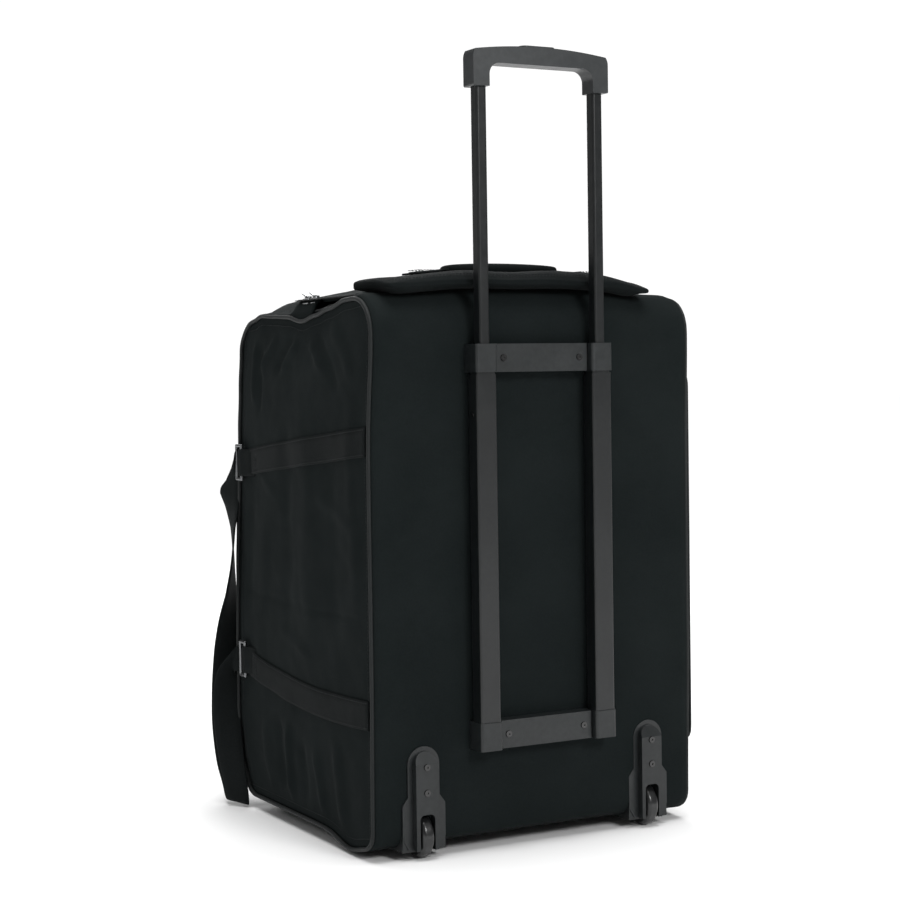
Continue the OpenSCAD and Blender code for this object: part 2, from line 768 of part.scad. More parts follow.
module wheel_housing(side) color(dark_plastic) placed() translate([side * wheel_x, 0, 0])
    difference() {
        spine = spine_w / 2;
        union() {
            along_y(half_d + 0.1, half_d + flange_t) housing_outline();
            along_y(half_d + flange_t - 1, half_d + spine_t) {
                translate([0, housing_top - 6 - spine]) circle(spine);
                translate([-spine, 12]) square([spine_w, housing_top - 18 - spine]);
            }
            box([-tub_w / 2, tub_front, tub_bottom], [tub_w / 2, half_d + flange_t - 1, tub_top]);
        }
        along_x(-spine_w, spine_w) polygon([
            [half_d + spine_t + 1, housing_top - 22], [half_d + spine_t + 1, housing_top],
            [half_d + flange_t + 2, housing_top], [half_d + flange_t + 2, housing_top - 7]
        ]);
        along_x(-slot_w / 2, slot_w / 2) translate([wheel_y, wheel_r]) circle(wheel_r + 3);
        along_y(wheel_y, half_d + spine_t + 1)
            rounded([-slot_w / 2, -10], [slot_w / 2, wheel_d + 1], [1, 1, 6, 6]);
        along_x(-tub_w, tub_w) translate([wheel_y, wheel_r]) circle(axle_r);
        for (z = housing_screws_z) translate([0, 0, z]) {
            along_y(half_d, half_d + 30) circle(screw_r + 0.1);
            along_y(half_d + spine_t - head_sink, half_d + 30) circle(head_r + 0.4);
        }
    }

module wheel_housing_left() wheel_housing(1);
module wheel_housing_right() wheel_housing(-1);

module at_wheel(side) translate([side * wheel_x, wheel_y, wheel_r]) rotate([0, 90, 0]) children();

module wheel_axles() color(steel) placed() for (side = [-1, 1]) at_wheel(side)
    cylinder(r = axle_r, h = tub_w - 6, center = true);

module wheel_tyre(side) color(satin_black) placed() at_wheel(side) rotate_extrude()
    rounded([hub_r, -wheel_w / 2], [wheel_r, wheel_w / 2], [0.5, 5, 5, 0.5]);

module wheel_tyre_left() wheel_tyre(1);
module wheel_tyre_right() wheel_tyre(-1);

module wheel_hub(side) color(dark_plastic) placed() at_wheel(side) rotate_extrude() difference() {
    translate([axle_r + 0.06, -wheel_w / 2 - 0.5]) square([hub_r - axle_r - 0.06, wheel_w + 1]);
    for (edge = [-1, 1]) translate([8, edge * (wheel_w / 2 + 0.5) - 1.5]) square([4, 3]);
}

module wheel_hub_left() wheel_hub(1);
module wheel_hub_right() wheel_hub(-1);

// ---------------------------------------------------------------- the part

back_panel();
front_panel_left();
front_panel_right();
top_panel();
bottom_panel();
end_panel_left();
end_panel_right();
end_piping();
back_board();
base_board();
front_feet();
lid_panel();
lid_flap();
lid_zip_fixed_half();
lid_zip_moving_half();
zip_slider_rear();
zip_slider_front();
zip_pull_rear();
zip_pull_front();
grab_handle_anchors();
grab_handle_webbing();
grab_handle_sleeve();
side_bands_left();
side_bands_right();
rings_left();
rings_right();
carry_strap_left();
carry_strap_right();
end_pocket();
pocket_zip();
pocket_slider();
pocket_pull();
front_zip();
front_slider();
front_pull();
outer_tube_left();
outer_tube_right();
guide_bushings();
upper_bracket();
lower_bracket();
bracket_screws();
backing_nuts();
inner_tube_left();
inner_tube_right();
tube_glides();
lock_pin_left();
lock_pin_right();
grip_rear_shell();
grip_front_shell();
release_button();
push_rods();
button_spring();
wheel_housing_left();
wheel_housing_right();
housing_screws();
wheel_axles();
wheel_tyre_left();
wheel_tyre_right();
wheel_hub_left();
wheel_hub_right();
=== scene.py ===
"""A wheeled skate bag: fabric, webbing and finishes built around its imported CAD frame."""

import math

import bpy
from mathutils import Matrix, Vector, noise


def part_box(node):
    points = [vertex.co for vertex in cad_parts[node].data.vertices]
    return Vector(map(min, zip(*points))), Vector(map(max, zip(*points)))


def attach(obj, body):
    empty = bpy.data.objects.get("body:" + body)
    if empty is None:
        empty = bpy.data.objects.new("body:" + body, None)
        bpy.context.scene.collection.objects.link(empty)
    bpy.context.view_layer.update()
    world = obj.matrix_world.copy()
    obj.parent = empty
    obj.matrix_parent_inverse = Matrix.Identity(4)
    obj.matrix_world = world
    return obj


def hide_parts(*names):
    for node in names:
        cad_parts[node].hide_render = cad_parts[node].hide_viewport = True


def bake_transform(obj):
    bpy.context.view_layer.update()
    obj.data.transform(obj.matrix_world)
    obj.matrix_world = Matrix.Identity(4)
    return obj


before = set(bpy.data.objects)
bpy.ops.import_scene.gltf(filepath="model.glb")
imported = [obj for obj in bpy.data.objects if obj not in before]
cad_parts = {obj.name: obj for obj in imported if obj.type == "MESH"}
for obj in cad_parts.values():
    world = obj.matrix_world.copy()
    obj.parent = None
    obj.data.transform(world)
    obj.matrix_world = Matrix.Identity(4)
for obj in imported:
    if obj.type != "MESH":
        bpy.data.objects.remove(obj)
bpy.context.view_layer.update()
MM = 0.001

# ------------------------------------------------------------------ the bag's own coordinates
# Shapes are worked out in millimetres about the middle of the body, with z up from the floor.

LEFT_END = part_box("end_panel_left")
RIGHT_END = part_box("end_panel_right")
CENTRE = Vector(((LEFT_END[1].x + RIGHT_END[0].x) / 2, (LEFT_END[0].y + LEFT_END[1].y) / 2, 0))


def to_row(p):
    """Millimetres about the body's middle to metres in the row frame."""
    return CENTRE + Vector(p) * MM


def to_mm(v):
    """Metres in the row frame to millimetres about the body's middle."""
    return (Vector(v) - CENTRE) / MM


def box_mm(node):
    lo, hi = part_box(node)
    return to_mm(lo), to_mm(hi)


HALF_W = to_mm(LEFT_END[1]).x
HALF_D = to_mm(LEFT_END[1]).y
LOW = to_mm(LEFT_END[0]).z
TOP = to_mm(LEFT_END[1]).z
CORNER = 45
HEEL = 20
PANEL_T = 3
FOLD_Y = box_mm("lid_panel")[0].y
LID_BACK = box_mm("lid_panel")[1].y + 6
ZIP_X = HALF_W - 10
ZIP_START = box_mm("lid_zip_fixed_half")[0].y
WEBBING_W = 38
WEBBING_T = 2.3
# The rings: their middle along the depth, the bar held by the webbing loop, and their heights
RING_Y = -178
RING_BAR_X = 231.5
RING_BAR_Y = -174
UPPER_RING_Z = 466
LOWER_RING_Z = 200
# Stands for a body: a piece marked so runs from the bag to its lid over the fold and is joined to
# neither.
ACROSS_FOLD = "bag to lid"


def clamp(t, low=0.0, high=1.0):
    return max(low, min(high, t))


def smooth(a, b, t):
    s = clamp((t - a) / (b - a))
    return s * s * (3 - 2 * s)


def bump(t, middle, width):
    return math.exp(-(((t - middle) / width) ** 2))


def table(rows, t):
    """Reads a smooth value between rows of (place, value)."""
    for (a, va), (b, vb) in zip(rows, rows[1:]):
        if t <= b:
            return va + (vb - va) * smooth(a, b, t)
    return rows[-1][1]


def rough(p, size, amount, seed=0):
    return noise.noise(Vector(p) / size + Vector((seed, 2.3 * seed, -seed))) * amount


# ------------------------------------------------------------------ how the soft body sags
# (place along the depth, how far an end's top edge hangs below its sewn line)
END_SAG = ((-200, -26), (-155, -22), (-119, -16), (-70, -18), (-26, -20),
           (20, -27), (60, -21), (97, -14), (142, -5), (200, 0))
# (height, how far the front leans back there; less than nothing is a bulge)
FRONT_LEAN = ((18, 0), (40, 8), (70, -3), (130, -9), (210, -8), (320, -4),
              (382, 1), (430, 8), (509, 12), (560, 17), (626, 23), (676, 23))
# (place along the depth, share of the top's crown)
CROWN = ((-205, 0), (-150, 0.3), (-76, 0.7), (-31, 0.8), (41, 0.75), (100, 0.42),
         (150, 0.3), (205, 0.3))
CROWN_H = 26
# The sag of the top edges fades out this far below them.
SAG_REACH = 110
# The bottom hangs in front of the wheels, and the front's top edge dips between the ends.
BELLY_DROP = 12
NOSE_DROP = 4
# How far the back's top corner bulges at each end, and how far its foot tucks in
LEFT_SHOULDER = 12
RIGHT_SHOULDER = 3
HEEL_TUCK = 4


def crown(x, y):
    return CROWN_H * (1 - smooth(60, ZIP_X - 5, abs(x))) * table(CROWN, y)


def slump(p):
    """Moves a point of the sewn shell to where the soft bag hangs."""
    x, y, z = p
    end = smooth(120, HALF_W, abs(x))
    rim = smooth(ZIP_X - 1 - 48 * smooth(-5, -45, y), HALF_W + 1, abs(x))
    near_top = smooth(TOP - SAG_REACH, TOP, z)
    dz = table(END_SAG, y) * rim * near_top
    dz += crown(x, y) * smooth(TOP - 60, TOP, z)
    dz -= BELLY_DROP * end * bump(y, 135, 42) * smooth(90, LOW, z)
    dz -= NOSE_DROP * (1 - end) * bump(y, -200, 60) * near_top
    shoulder = LEFT_SHOULDER if x > 0 else RIGHT_SHOULDER
    dy = table(FRONT_LEAN, z) * smooth(-40, -190, y)
    dy += shoulder * end * bump(z, 626, 80) * smooth(60, 190, y)
    dy -= HEEL_TUCK * end * smooth(250, LOW, z) * smooth(0, 190, y)
    return Vector((x, y + dy, z + dz))


# Folds of an end panel: two ends of a ridge as (depth, height), its width and its height.
LEFT_FOLDS = (
    ((8, 640), (-42, 592), 7, 4.5), ((-10, 650), (-62, 585), 8, -3.5), ((-60, 642), (-128, 588), 9, 4.5),
    ((-146, 640), (-150, 545), 9, 5), ((-120, 620), (-128, 530), 8, -3), ((42, 640), (84, 585), 8, 4),
    ((66, 650), (118, 560), 8, -3), ((104, 655), (150, 575), 9, 3), ((30, 540), (34, 235), 24, 3.8),
    ((-26, 520), (-34, 250), 17, -3), ((92, 520), (104, 255), 28, -3), ((148, 560), (160, 300), 12, 2.4),
    ((-96, 440), (-120, 250), 22, 2.6), ((-150, 420), (-160, 255), 13, -2),
    ((-42, 132), (-34, 34), 8, 5.5), ((-72, 140), (-62, 42), 10, -4.5), ((0, 120), (10, 42), 10, -3.5),
    ((42, 112), (62, 32), 9, 4.5), ((-110, 130), (-100, 40), 14, 4), ((100, 130), (118, 30), 12, 4),
    ((-190, 293), (190, 286), 3.5, -2), ((60, 430), (150, 400), 9, 2.5), ((-60, 255), (40, 228), 8, 3),
    ((-150, 470), (-60, 425), 8, 2.5),
)
RIGHT_FOLDS = (
    ((-20, 650), (-70, 600), 8, 4), ((40, 652), (90, 600), 8, 3.5), ((-140, 640), (-165, 560), 9, 4),
    ((-168, 540), (-172, 240), 9, 3), ((188, 560), (190, 200), 7, 3), ((-60, 88), (-50, 34), 9, 4),
    ((40, 84), (58, 34), 9, 4), ((-120, 92), (-110, 36), 12, -3),
)


def ridge(y, z, fold):
    """Height of one fold at a place on an end panel."""
    (ay, az), (by, bz), width, height = fold
    along_y, along_z = by - ay, bz - az
    length = math.hypot(along_y, along_z)
    s = ((y - ay) * along_y + (z - az) * along_z) / length ** 2
    near = clamp(s)
    d = math.hypot(y - ay - near * along_y, z - az - near * along_z)
    fade = smooth(-0.12, 0.22, s) * smooth(1.12, 0.78, s)
    return height * fade * math.exp(-((d / width) ** 2))


END_SWELL = 6


def end_out(side, y, z):
    """How far an end panel stands out from its flat CAD face."""
    edge = min(HALF_D - abs(y), z - LOW, TOP - z)
    swell = END_SWELL * (1 - (y / HALF_D) ** 2) * (1 - ((z - 347) / 330) ** 4)
    folds = LEFT_FOLDS if side > 0 else RIGHT_FOLDS
    creases = sum(ridge(y, z, f) for f in folds)
    wander = rough((y, z, 7 * side), 55, 2.2, 3) + rough((y, z, side), 24, 0.9, 8)
    near_ring = max(bump(y, RING_Y, 26) * bump(z, ring_z, 34)
                    for ring_z in (UPPER_RING_Z, LOWER_RING_Z))
    return smooth(0, 26, edge) * (swell + creases + wander) * (1 - 0.85 * near_ring)


def on_end(side, y, z, lift=0.0):
    """A point on an end panel's hanging surface, lift above it."""
    return slump((side * (HALF_W + end_out(side, y, z) + lift), y, z))


# ------------------------------------------------------------------ making meshes

def bake(obj):
    """Applies an object's modifiers."""
    depsgraph = bpy.context.evaluated_depsgraph_get()
    mesh = bpy.data.meshes.new_from_object(obj.evaluated_get(depsgraph))
    obj.modifiers.clear()
    obj.data = mesh
    return obj


def piece(name, verts, faces, material, slot, body="bag", thick=0.0, replaces=()):
    """One named piece from points in mm, thickened inwards if asked."""
    mesh = bpy.data.meshes.new(name)
    mesh.from_pydata([to_row(v) for v in verts], [], faces)
    mesh.validate()
    obj = bpy.data.objects.new(name, mesh)
    bpy.context.scene.collection.objects.link(obj)
    if thick:
        solid = obj.modifiers.new("thickness", "SOLIDIFY")
        solid.thickness = thick * MM
        solid.offset = -1
        solid.use_even_offset = False
        bake(obj)
    return finished(obj, material, body, replaces)


def finished(obj, material, body, replaces=()):
    """Gives a mesh its finish, its body and the CAD nodes that it stands for."""
    obj.data.materials.clear()
    obj.data.materials.append(material)
    for face in obj.data.polygons:
        face.use_smooth = True
    if body == ACROSS_FOLD:
        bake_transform(obj)
    else:
        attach(obj, body)
    if replaces:
        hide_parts(*replaces)
    return obj


def grid_faces(rows, columns, flip=False, closed=False):
    faces = []
    for i in range(rows - 1):
        for j in range(columns if closed else columns - 1):
            k = (j + 1) % columns
            face = (i * columns + j, i * columns + k, (i + 1) * columns + k, (i + 1) * columns + j)
            faces.append(face[::-1] if flip else face)
    return faces


def resample(points, step):
    """Points spaced about step apart along a line through the given points."""
    pts = [Vector(p) for p in points]
    lengths = [0.0]
    for a, b in zip(pts, pts[1:]):
        lengths.append(lengths[-1] + (b - a).length)
    count = max(2, round(lengths[-1] / step) + 1)
    out, k = [], 0
    for i in range(count):
        s = lengths[-1] * i / (count - 1)
        while k < len(pts) - 2 and lengths[k + 1] < s:
            k += 1
        span = max(1e-6, lengths[k + 1] - lengths[k])
        out.append(pts[k].lerp(pts[k + 1], (s - lengths[k]) / span))
    return out


def curve_through(points, step):
    """A smooth line (Catmull-Rom) through the given points, resampled."""
    p = [Vector(q) for q in points]
    p = [2 * p[0] - p[1]] + p + [2 * p[-1] - p[-2]]
    fine = []
    for a, b, c, d in zip(p, p[1:], p[2:], p[3:]):
        for i in range(12):
            t = i / 12
            fine.append(0.5 * (2 * b + (c - a) * t + (2 * a - 5 * b + 4 * c - d) * t * t
                               + (3 * b - a - 3 * c + d) * t ** 3))
    fine.append(p[-2])
    return resample(fine, step)


def tube_mesh(points, radius, sides=8, closed=False):
    """Points and faces of a round tube along a line."""
    pts = [Vector(p) for p in points]
    verts, n = [], len(pts)
    across = None
    for i, p in enumerate(pts):
        before = pts[i - 1] if (i or closed) else p
        after = pts[(i + 1) % n] if (i < n - 1 or closed) else p
        ahead = (after - before).normalized()
        if across is None:
            across = ahead.orthogonal().normalized()
        across = (across - ahead * across.dot(ahead)).normalized()
        other = ahead.cross(across)
        for k in range(sides):
            a = 2 * math.pi * k / sides
            verts.append(p + (across * math.cos(a) + other * math.sin(a)) * radius)
    faces = grid_faces(n, sides, closed=True)
    if closed:
        faces += [((n - 1) * sides + k, (n - 1) * sides + (k + 1) % sides, (k + 1) % sides, k)
                  for k in range(sides)]
    else:
        faces += [tuple(range(sides))[::-1], tuple(range((n - 1) * sides, n * sides))]
    return verts, faces


# Round a strap's section: (share of the half-width, share of the half-thickness)
RIBBON_SECTION = ((-1, 0), (-0.95, 1), (-0.5, 1.12), (0, 1.0), (0.5, 1.12), (0.95, 1),
                  (1, 0), (0.95, -1), (0.5, -1.12), (0, -1.0), (-0.5, -1.12), (-0.95, -1))


def ribbon_mesh(rows, thick):
    """A flat strap. Each row is (middle, half-width vector); its edges are rounded."""
    verts, n = [], len(rows)
    for i, (middle, half) in enumerate(rows):
        before = rows[max(0, i - 1)][0]
        after = rows[min(n - 1, i + 1)][0]
        ahead = (after - before).normalized()
        up = ahead.cross(half.normalized()).normalized() * thick / 2
        for s, h in RIBBON_SECTION:
            verts.append(middle + half * s + up * h)
    ring = len(RIBBON_SECTION)
    faces = grid_faces(n, ring, closed=True)
    faces += [tuple(range(ring))[::-1], tuple(range((n - 1) * ring, n * ring))]
    return verts, faces


def join(*parts):
    """Joins (points, faces) pairs into one pair."""
    verts, faces = [], []
    for v, f in parts:
        base = len(verts)
        verts += list(v)
        faces += [tuple(base + k for k in face) for face in f]
    return verts, faces


def grain(middle, ahead, up, length, radius):
    """One stitch or zip tooth: a small six-sided capsule."""
    ahead = ahead.normalized()
    side = ahead.cross(up).normalized()
    up = side.cross(ahead)
    verts = [middle - ahead * length / 2, middle + ahead * length / 2]
    for s in (-0.32, 0.32):
        for k in range(6):
            a = math.pi * k / 3
            verts.append(middle + ahead * length * s
                         + (side * math.cos(a) + up * math.sin(a) * 0.8) * radius)
    faces = []
    for k in range(6):
        m = (k + 1) % 6
        faces += [(0, 2 + m, 2 + k), (2 + k, 2 + m, 8 + m, 8 + k), (1, 8 + k, 8 + m)]
    return verts, faces


def stitches(name, lines, body="bag", pitch=4.6, length=3.3, radius=0.42):
    """Rows of thread. Each line is (points in mm, the way the surface faces)."""
    parts = []
    for points, up in lines:
        spaced = resample(points, pitch)
        for a, b in zip(spaced, spaced[1:]):
            parts.append(grain((a + b) / 2, b - a, Vector(up), length, radius))
    return piece(name, *join(*parts), THREAD, "webbing", body)


# ------------------------------------------------------------------ finishes

def new_material(name):
    material = bpy.data.materials.new(name)
    material.use_nodes = True
    return material, material.node_tree, material.node_tree.nodes["Principled BSDF"]


def node(tree, kind, **inputs):
    made = tree.nodes.new(kind)
    for key, value in inputs.items():
        made.inputs[key.replace("_", " ")].default_value = value
    return made


def noise_node(tree, scale, detail=3.0):
    place = tree.nodes.new("ShaderNodeTexCoord")
    made = node(tree, "ShaderNodeTexNoise", Scale=scale, Detail=detail)
    tree.links.new(place.outputs["Object"], made.inputs["Vector"])
    return made.outputs["Fac"]


def wave_node(tree, signs, period_mm, distortion=0.0):
    """Stripes across the diagonal with these signs, period_mm apart."""
    place = tree.nodes.new("ShaderNodeTexCoord")
    turn = node(tree, "ShaderNodeMapping", Scale=signs)
    made = node(tree, "ShaderNodeTexWave", Scale=2 * math.pi / (10 * period_mm * MM),
                Distortion=distortion)
    made.bands_direction = "DIAGONAL"
    tree.links.new(place.outputs["Object"], turn.inputs["Vector"])
    tree.links.new(turn.outputs["Vector"], made.inputs["Vector"])
    return made.outputs["Fac"]


def math_node(tree, operation, a, b):
    made = tree.nodes.new("ShaderNodeMath")
    made.operation = operation
    for socket, value in zip(made.inputs, (a, b)):
        if isinstance(value, (int, float)):
            socket.default_value = value
        else:
            tree.links.new(value, socket)
    return made.outputs[0]


def ramp(tree, fac, dark, light, low=0.3, high=0.7):
    made = tree.nodes.new("ShaderNodeValToRGB")
    made.color_ramp.elements[0].position = low
    made.color_ramp.elements[1].position = high
    made.color_ramp.elements[0].color = (*dark, 1)
    made.color_ramp.elements[1].color = (*light, 1)
    tree.links.new(fac, made.inputs["Fac"])
    return made.outputs["Color"]


def spread(tree, fac, low, high):
    made = node(tree, "ShaderNodeMapRange")
    made.inputs["To Min"].default_value = low
    made.inputs["To Max"].default_value = high
    tree.links.new(fac, made.inputs["Value"])
    return made.outputs[0]


def bumps(tree, *layers):
    """A chain of bumps from (height, depth in mm, strength)."""
    normal = None
    for height, depth, strength in layers:
        made = node(tree, "ShaderNodeBump", Distance=depth * MM, Strength=strength)
        tree.links.new(height, made.inputs["Height"])
        if normal is not None:
            tree.links.new(normal, made.inputs["Normal"])
        normal = made.outputs["Normal"]
    return normal


def cloth_material(name, dark, light, period, roughness, sheen, weave=0.35, specular=0.2):
    """Woven cloth: crossed threads, a slight mottle and soft creases."""
    material, tree, bsdf = new_material(name)
    threads = math_node(tree, "ADD", wave_node(tree, (1, 1, 1), period, 0.4),
                        wave_node(tree, (1, 1, -1), period, 0.4))
    threads = math_node(tree, "ADD", threads, wave_node(tree, (1, -1, 1), period, 0.4))
    mottle = math_node(tree, "ADD", math_node(tree, "MULTIPLY", noise_node(tree, 9), 0.65),
                       math_node(tree, "MULTIPLY", noise_node(tree, 420, 2), 0.35))
    colour = ramp(tree, mottle, dark, light)
    tree.links.new(colour, bsdf.inputs["Base Color"])
    tree.links.new(spread(tree, noise_node(tree, 35), roughness - 0.08, roughness + 0.08),
                   bsdf.inputs["Roughness"])
    normal = bumps(tree, (noise_node(tree, 26, 4), 2.2, 0.35), (noise_node(tree, 130), 0.5, 0.3),
                   (threads, 0.12, weave))
    tree.links.new(normal, bsdf.inputs["Normal"])
    bsdf.inputs["Specular IOR Level"].default_value = specular
    bsdf.inputs["Sheen Weight"].default_value = sheen
    bsdf.inputs["Sheen Roughness"].default_value = 0.45
    return material


def hard_material(name, dark, light, roughness, metallic=0.0, grain_scale=900.0, grain_depth=0.05,
                  coat=0.0, specular=0.5):
    """Moulded, coated or plated surface: fine grain, handling marks and faint scuffs."""
    material, tree, bsdf = new_material(name)
    scuffs = math_node(tree, "MULTIPLY", noise_node(tree, 14, 6), noise_node(tree, 160, 4))
    tree.links.new(ramp(tree, scuffs, dark, light, 0.15, 0.4), bsdf.inputs["Base Color"])
    tree.links.new(spread(tree, noise_node(tree, 60, 5), roughness - 0.06, roughness + 0.1),
                   bsdf.inputs["Roughness"])
    tree.links.new(bumps(tree, (noise_node(tree, grain_scale, 2), grain_depth, 0.5),
                         (noise_node(tree, 70, 2), 0.05, 0.3)), bsdf.inputs["Normal"])
    bsdf.inputs["Metallic"].default_value = metallic
    bsdf.inputs["Coat Weight"].default_value = coat
    bsdf.inputs["Specular IOR Level"].default_value = specular
    return material


FABRIC = cloth_material("bag_fabric", (0.0056, 0.0080, 0.0082), (0.0096, 0.0127, 0.0129), 1.1, 0.9,
                        0.006, specular=0.07)
FLAP_CLOTH = cloth_material("flap_fabric", (0.0034, 0.0048, 0.0050), (0.0062, 0.0082, 0.0084), 1.1,
                            0.9, 0.008, specular=0.09)
PIPING = cloth_material("piping", (0.0060, 0.0078, 0.0080), (0.0100, 0.0122, 0.0125), 0.9, 0.6, 0.04,
                        specular=0.25)
WEBBING = cloth_material("webbing", (0.0052, 0.0068, 0.0070), (0.0088, 0.0108, 0.0111), 1.7, 0.8,
                         0.01, weave=0.9, specular=0.09)
TAPE = cloth_material("zip_tape", (0.007, 0.008, 0.0085), (0.011, 0.012, 0.0125), 0.8, 0.75, 0.05)
THREAD = cloth_material("thread", (0.012, 0.014, 0.0145), (0.020, 0.022, 0.023), 0.5, 0.7, 0.03)
TEETH = hard_material("zip_teeth", (0.009, 0.010, 0.010), (0.016, 0.017, 0.017), 0.4)
CAD_FINISHES = {
    "stiffener": hard_material("stiffener", (0.03, 0.031, 0.032), (0.05, 0.051, 0.052), 0.6),
    "moulded_plastic": hard_material("moulded_plastic", (0.0085, 0.0104, 0.0110),
                                     (0.0150, 0.0175, 0.0182), 0.36, grain_depth=0.09,
                                     specular=0.42),
    "grip_plastic": hard_material("grip_plastic", (0.016, 0.0185, 0.0195), (0.025, 0.028, 0.0295),
                                  0.38, grain_depth=0.07),
    "tube_black": hard_material("tube_black", (0.0050, 0.0060, 0.0065), (0.008, 0.0095, 0.010), 0.3,
                                0.0, 300, 0.002, coat=0.1, specular=0.4),
    "chrome": hard_material("chrome", (0.72, 0.73, 0.74), (0.86, 0.87, 0.88), 0.16, 1.0, 1200, 0.01),
    "steel": hard_material("steel", (0.42, 0.42, 0.43), (0.60, 0.60, 0.61), 0.3, 1.0, 1200, 0.02),
    "dull_steel": hard_material("dull_steel", (0.15, 0.155, 0.16), (0.22, 0.225, 0.23), 0.38, 1.0,
                                1200, 0.02),
    "black_screws": hard_material("black_screws", (0.004, 0.0042, 0.0044), (0.007, 0.0072, 0.0074),
                                  0.22, 0.0, 1200, 0.02, coat=0.4),
    "tyre": hard_material("tyre", (0.0050, 0.0056, 0.0060), (0.009, 0.0096, 0.010), 0.3,
                          grain_depth=0.05, coat=0.3),
}


def finish_cad_nodes():
    """Gives each CAD node that still shows the finish of its record slot."""
    for name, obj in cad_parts.items():
        for slot in obj.material_slots:
            kind = slot.material.name.split(".")[0] if slot.material else ""
            if name.endswith("_screws"):
                kind = "black_screws"
            if name.startswith("rings_"):
                kind = "dull_steel"
            if kind in CAD_FINISHES:
                slot.material = CAD_FINISHES[kind]


# ------------------------------------------------------------------ the sewn shell

def arc(cy, cz, r, start, end, steps=7):
    return [(cy + r * math.cos(math.radians(start + (end - start) * i / steps)),
             cz + r * math.sin(math.radians(start + (end - start) * i / steps)))
            for i in range(steps + 1)]


def line(a, b, step=9.0):
    count = max(1, round(math.hypot(b[0] - a[0], b[1] - a[1]) / step))
    return [(a[0] + (b[0] - a[0]) * i / count, a[1] + (b[1] - a[1]) * i / count)
            for i in range(count + 1)]


def chain(*runs):
    out = []
    for run in runs:
        out += [p for p in run if not out or math.dist(p, out[-1]) > 0.01]
    return out


# Corner centres of the end panels' outline
BACK_TOP = (HALF_D - CORNER, TOP - CORNER)
HEEL_AT = (HALF_D - HEEL, LOW + HEEL)
FRONT_LOW = (-HALF_D + CORNER, LOW + CORNER)
FRONT_TOP = (-HALF_D + CORNER, TOP - CORNER)

BACK_PROFILE = chain(arc(*BACK_TOP, CORNER, 88, 0), line((HALF_D, BACK_TOP[1]), (HALF_D, HEEL_AT[1])),
                     arc(*HEEL_AT, HEEL, 0, -60, 4))
BOTTOM_PROFILE = chain(arc(*HEEL_AT, HEEL, -60, -90, 3), line((HEEL_AT[0], LOW), (FRONT_LOW[0], LOW)),
                       arc(*FRONT_LOW, CORNER, -90, -180))
FRONT_PROFILE = line((-HALF_D, FRONT_LOW[1]), (-HALF_D, FRONT_TOP[1]))
TOP_PROFILE = chain(arc(*FRONT_TOP, CORNER, 180, 90), line((FRONT_TOP[0], TOP), (FOLD_Y, TOP), 7))
RIM = chain(BACK_PROFILE, BOTTOM_PROFILE, FRONT_PROFILE, TOP_PROFILE,
            line((FOLD_Y, TOP), (BACK_TOP[0], TOP)))


def wrap(name, profile, x0, x1, swell=0.0, crumple=0.8, step=9.0, **how):
    """A panel that follows a profile in depth and height, from x0 to x1 across."""
    columns = max(2, round((x1 - x0) / step) + 1)
    verts = []
    for i, (y, z) in enumerate(profile):
        before = profile[max(0, i - 1)]
        after = profile[min(len(profile) - 1, i + 1)]
        out = Vector((0, after[1] - before[1], before[0] - after[0])).normalized() * -1
        run = math.sin(math.pi * i / (len(profile) - 1))
        for j in range(columns):
            x = x0 + (x1 - x0) * j / (columns - 1)
            middle = math.sin(math.pi * clamp((x - x0) / (x1 - x0)))
            lift = run * middle * swell + middle * (rough((x, y, z), 90, crumple * 1.6)
                                                    + rough((x, y, z), 34, crumple * 0.6, 5))
            verts.append(slump((x, y, z)) + out * lift)
    return piece(name, verts, grid_faces(len(profile), columns, flip=True), FABRIC, "bag_fabric",
                 thick=PANEL_T, **how)


def rounded(y, z, corners):
    """Squeezes a square grid's corners into rounded ones: (centre, radius, ways out)."""
    for (cy, cz), r, (sy, sz) in corners:
        u, v = (y - cy) * sy / r, (z - cz) * sz / r
        if u > 0 and v > 0:
            return (cy + sy * r * u * math.sqrt(1 - v * v / 2),
                    cz + sz * r * v * math.sqrt(1 - u * u / 2))
    return y, z


END_CORNERS = ((BACK_TOP, CORNER, (1, 1)), (HEEL_AT, HEEL, (1, -1)),
               (FRONT_LOW, CORNER, (-1, -1)), (FRONT_TOP, CORNER, (-1, 1)))


def end_panel(name, side, step, node_name):
    rows = round((TOP - LOW) / step) + 1
    columns = round(2 * HALF_D / step) + 1
    verts = []
    for i in range(rows):
        for j in range(columns):
            y, z = rounded(-HALF_D + 2 * HALF_D * j / (columns - 1),
                           LOW + (TOP - LOW) * i / (rows - 1), END_CORNERS)
            verts.append(on_end(side, y, z))
    faces = grid_faces(rows, columns, flip=side < 0)
    return piece(name, verts, faces, FABRIC, "bag_fabric", thick=PANEL_T, replaces=(node_name,))


def top_edges():
    """The shell between each end's seam and the lid's zip, clear of the zip's sliders."""
    run = line((FOLD_Y - 2, TOP), (BACK_TOP[0], TOP), 6) + arc(*BACK_TOP, CORNER, 90, 84, 2)
    inner, columns = ZIP_X + 6, 6
    for side, name in ((-1, "right"), (1, "left")):
        verts = []
        for y, z in run:
            for j in range(columns):
                x = inner + (HALF_W - inner) * j / (columns - 1)
                verts.append(slump((side * x, y, z - 0.6)))
        piece("top_edge_cloth_" + name, verts, grid_faces(len(run), columns, flip=side < 0), FABRIC,
              "bag_fabric", thick=2)


